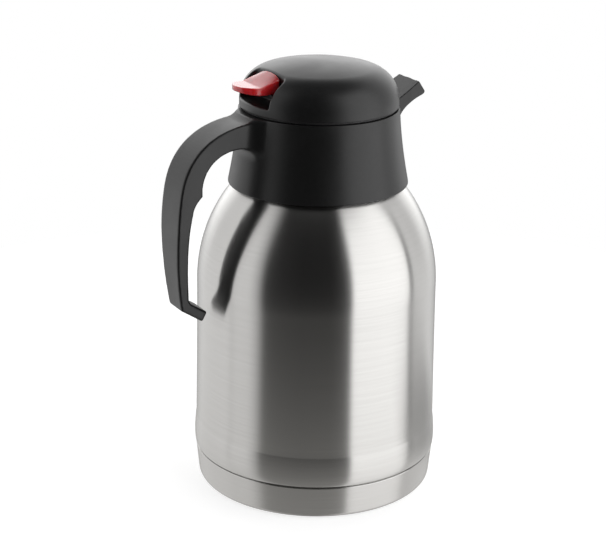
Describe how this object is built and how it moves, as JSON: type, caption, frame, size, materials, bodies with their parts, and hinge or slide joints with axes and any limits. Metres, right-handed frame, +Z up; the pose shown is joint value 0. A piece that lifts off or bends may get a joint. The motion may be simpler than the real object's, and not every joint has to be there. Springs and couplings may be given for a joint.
{
  "type": "thermal carafe",
  "caption": "Vacuum carafe that keeps drinks hot: brushed steel jug with a black handle, spout collar and domed lid, and a red thumb lever that opens the pouring valve.",
  "frame": {"origin": "centre of the ring that the carafe stands on, on the table plane", "axes": "+Z up along the jug's axis, handle towards -X, spout towards +X"},
  "size_m": [0.1655, 0.1432, 0.251],
  "materials": {
    "steel_body": "vertical satin bands over fine brushing",
    "steel_inside": "plain satin",
    "screw_steel": "bright",
    "black_plastic": "satin moulded, near black",
    "inner_plastic": "matte moulded, black",
    "red_plastic": "glossy moulded red",
    "silicone": "soft, milky",
    "foot_rubber": "matte black"
  },
  "bodies": {
    "jug": {"base_cup": "steel_body", "foot_ring": "foot_rubber", "shell_bottom": "steel_inside", "vacuum_seal": "steel_inside", "outer_shell": "steel_body", "inner_flask": "steel_inside", "getter_capsule": "steel_inside", "neck_gasket": "silicone", "collar": "black_plastic", "handle_shell": "black_plastic", "handle_insert": "black_plastic", "handle_screws": "screw_steel"},
    "lid": {"lid_dome": "black_plastic", "lid_base": "inner_plastic", "lid_gasket": "silicone", "lid_screws": "screw_steel", "stopper_body": "inner_plastic", "stopper_seal": "silicone", "stem_oring": "foot_rubber", "lever_pin": "screw_steel"},
    "lever": {"lever": "red_plastic"},
    "valve": {"valve_stem": "screw_steel", "valve_disc": "inner_plastic", "valve_seal": "silicone", "spring_cap": "inner_plastic", "valve_spring": "screw_steel"}
  },
  "joints": [
    {"name": "lid_lift", "type": "slide", "parent": "jug", "child": "lid", "axis": [0, 0, 1], "range_m": [0, 0.06]},
    {"name": "lever_press", "type": "hinge", "parent": "lid", "child": "lever", "pos_m": [0.031, 0, 0.2395], "axis": [0, -1, 0], "range_deg": [0, 4.25]},
    {"name": "valve_slide", "type": "slide", "parent": "lid", "child": "valve", "axis": [0, 0, -1], "range_m": [0, 0.00227], "stiffness_N_per_m": 60, "springref_m": -0.006, "deforming": ["valve_spring"]}
  ],
  "couplings": [
    {"joint": "lever_press", "follows": "valve_slide", "rad_per_m": 32.258}
  ]
}
